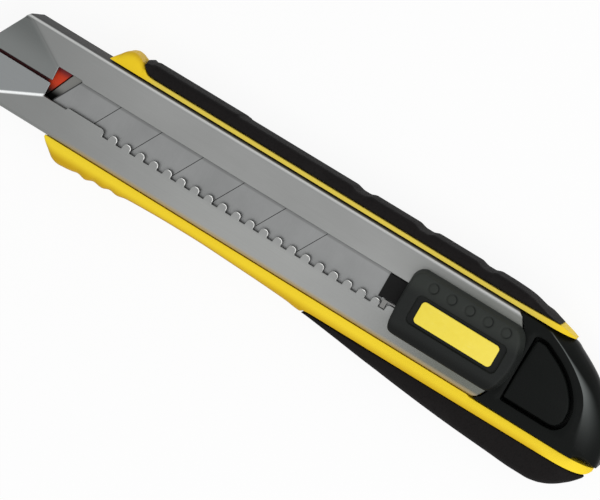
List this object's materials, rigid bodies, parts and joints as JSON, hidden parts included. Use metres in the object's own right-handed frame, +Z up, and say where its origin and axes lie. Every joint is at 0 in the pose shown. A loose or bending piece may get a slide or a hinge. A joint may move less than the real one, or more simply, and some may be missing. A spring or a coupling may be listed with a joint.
{
  "type": "snap off knife",
  "caption": "Heavy snap-off cutter: yellow handle with black grips, slotted steel channel with a locking rack, thumb slider, scored blade and a blade magazine closed by a rear cap.",
  "frame": {"origin": "on the flat back face, under the blade's centre line near the middle of the length", "axes": "+X to the blade tip, +Y to the cutting edge, +Z up from the back face to the slider"},
  "size_m": [0.2196, 0.0456, 0.022],
  "materials": {
    "yellow_plastic": "satin moulded",
    "black_rubber": "matt, fine grain",
    "channel_steel": "satin stamped sheet",
    "red_plastic": "moulded",
    "tray_plastic": "moulded",
    "spring_steel": "bright",
    "blade_steel": "ground sheet",
    "slider_plastic": "matt moulded",
    "label_yellow": "plain printed plate",
    "carrier_plastic": "moulded",
    "cap_plastic": "soft gloss"
  },
  "bodies": {
    "handle": {"handle_body": "yellow_plastic", "upper_grip": "black_rubber", "lower_grip": "black_rubber", "blade_channel": "channel_steel", "nose_guide": "red_plastic", "magazine_tray": "tray_plastic", "magazine_spring": "spring_steel", "magazine_follower": "tray_plastic", "spare_blade_1": "blade_steel", "spare_blade_2": "blade_steel", "spare_blade_3": "blade_steel", "spare_blade_4": "blade_steel", "spare_blade_5": "blade_steel"},
    "slider": {"thumb_slide": "slider_plastic", "slide_badge": "label_yellow", "blade_carrier": "carrier_plastic", "lock_spring": "spring_steel", "blade": "blade_steel"},
    "end_cap": {"end_cap": "cap_plastic", "button_spring": "spring_steel"},
    "release_button": {"release_button": "cap_plastic"}
  },
  "joints": [
    {"name": "slider_slide", "type": "slide", "parent": "handle", "child": "slider", "axis": [1, 0, 0], "range_m": [0, 0.09333], "deforming": ["lock_spring"]},
    {"name": "cap_pull", "type": "slide", "parent": "handle", "child": "end_cap", "axis": [-1, 0, 0], "range_m": [0, 0.05]},
    {"name": "button_press", "type": "slide", "parent": "end_cap", "child": "release_button", "axis": [0, 0, -1], "range_m": [0, 0.0015], "stiffness_N_per_m": 400, "springref_m": -0.001, "deforming": ["button_spring"]}
  ]
}
